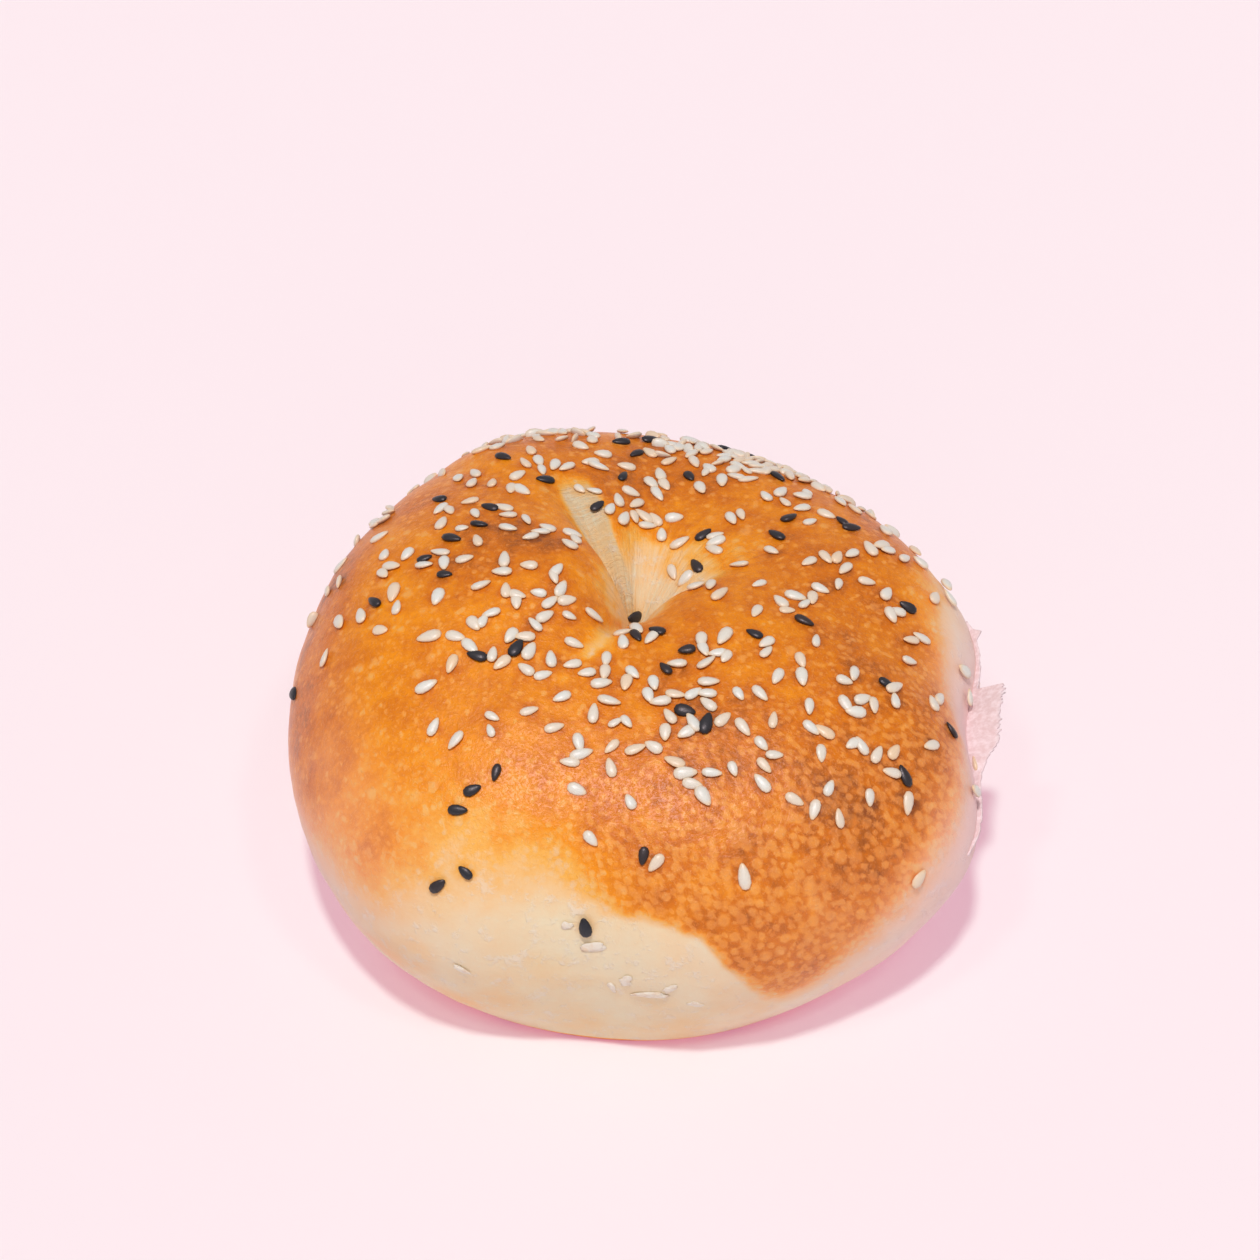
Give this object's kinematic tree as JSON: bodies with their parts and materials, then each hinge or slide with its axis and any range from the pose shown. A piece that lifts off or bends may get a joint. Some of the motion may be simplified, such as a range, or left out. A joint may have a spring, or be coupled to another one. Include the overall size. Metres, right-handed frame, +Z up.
{
  "type": "sesame bagel",
  "caption": "Plump baked bagel with a closed, puckered hole, white and black sesame seeds, a pale torn side and a flake of torn skin.",
  "frame": {"origin": "on the table, under the middle of the bagel's bounding box", "axes": "+Z up out of the dimple, -Y towards the pale side that faces the viewer, +X towards the torn flake"},
  "size_m": [0.1145, 0.1097, 0.055],
  "materials": {
    "crust": "golden baked crust, softly shiny, paler where it baked against its neighbours",
    "white_sesame": "smooth, softly shiny ivory seed",
    "black_sesame": "fine-grained black seed with a bluish sheen"
  },
  "bodies": {
    "root": {"bagel": "crust"}
  },
  "joints": []
}
